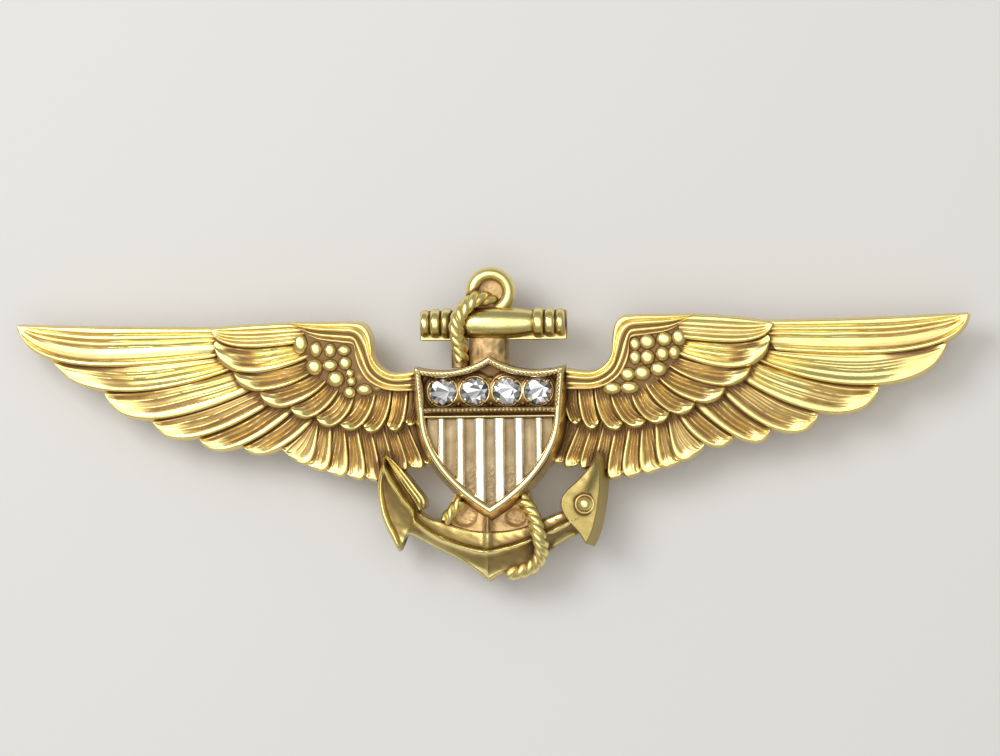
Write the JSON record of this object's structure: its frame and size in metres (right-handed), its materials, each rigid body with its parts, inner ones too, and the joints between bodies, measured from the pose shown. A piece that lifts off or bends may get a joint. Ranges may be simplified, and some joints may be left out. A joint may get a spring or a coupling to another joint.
{
  "type": "pilot wings pin",
  "caption": "Winged breast badge: feathered wings on a fouled anchor, shield with set stones over the middle, hinged pin and turning safety catch at the back.",
  "frame": {"origin": "on the surface that the badge's back fittings stand on, under the middle of the badge", "axes": "+X along the wings, towards the wing with the catch; +Y in the badge's plane, towards the anchor's ring; +Z out of the front face"},
  "size_m": [0.07, 0.0232, 0.0068],
  "materials": {
    "bright_gold": "polished",
    "antique_gold": "satin with darkened recesses",
    "fitting_gold": "satin",
    "diamond": "faceted and polished"
  },
  "bodies": {
    "badge": {"wing_left": "bright_gold", "wing_right": "bright_gold", "anchor_body": "antique_gold", "right_palm": "antique_gold", "palm_rivet": "bright_gold", "anchor_stock": "antique_gold", "anchor_ring": "bright_gold", "cable_upper": "bright_gold", "cable_lower_right": "bright_gold", "cable_lower_left": "bright_gold", "shield_frame": "bright_gold", "stripe_plate": "bright_gold", "stone_plate": "bright_gold", "stone_1": "diamond", "stone_2": "diamond", "stone_3": "diamond", "stone_4": "diamond", "hinge_bracket": "fitting_gold", "hinge_rivet": "fitting_gold", "catch_housing": "fitting_gold"},
    "pin": {"pin_stem": "fitting_gold"},
    "rotor": {"catch_rotor": "fitting_gold"}
  },
  "joints": [
    {"name": "pin_hinge", "type": "hinge", "parent": "badge", "child": "pin", "pos_m": [-0.019, 0.0019, 0.0016], "axis": [0, 1, 0], "range_deg": [0, 110]},
    {"name": "catch_turn", "type": "hinge", "parent": "badge", "child": "rotor", "pos_m": [0.019, 0.0019, 0.0016], "axis": [1, 0, 0], "range_deg": [0, 100]}
  ]
}
